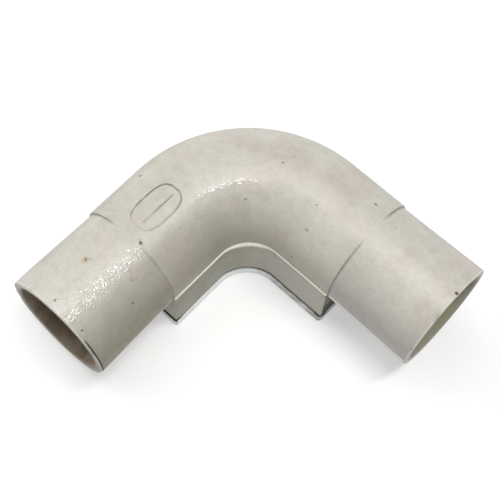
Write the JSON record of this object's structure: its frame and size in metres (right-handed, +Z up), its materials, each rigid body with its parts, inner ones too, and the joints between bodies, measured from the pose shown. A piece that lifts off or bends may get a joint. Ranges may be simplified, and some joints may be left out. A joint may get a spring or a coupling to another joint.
{
  "type": "conduit inspection elbow",
  "caption": "Round 90 degree elbow for electrical conduit with plain push-in sockets and a boxed underside closed by a screwed inspection cover.",
  "frame": {"origin": "on the cover's underside, the plane the elbow rests on, directly under the point where the two socket axes meet", "axes": "+X along the right socket towards its mouth, -Y along the left socket towards its mouth, +Z up, out of the round side and away from the cover"},
  "size_m": [0.0654, 0.0654, 0.0293],
  "materials": {
    "body_plastic": "aged off-white rigid PVC, satin, lightly pitted and soiled",
    "cover_plastic": "off-white rigid PVC, slightly cooler than the body, scuffed underneath",
    "screw_steel": "zinc-plated steel, dulled",
    "insert_brass": "turned brass, dulled"
  },
  "bodies": {
    "elbow": {"elbow_body": "body_plastic", "threaded_insert_left": "insert_brass", "threaded_insert_right": "insert_brass"},
    "cover": {"inspection_cover": "cover_plastic"},
    "screw_left": {"cover_screw_left": "screw_steel"},
    "screw_right": {"cover_screw_right": "screw_steel"}
  },
  "joints": [
    {"name": "cover_lift_off", "type": "slide", "parent": "elbow", "child": "cover", "axis": [0, 0, -1], "range_m": [0, 0.03]},
    {"name": "screw_left_turn", "type": "hinge", "parent": "cover", "child": "screw_left", "pos_m": [0, -0.0286, 0.00015], "axis": [0, 0, -1], "range_deg": [0, 1980]},
    {"name": "screw_right_turn", "type": "hinge", "parent": "cover", "child": "screw_right", "pos_m": [0.0286, 0, 0.00015], "axis": [0, 0, -1], "range_deg": [0, 1980]}
  ]
}
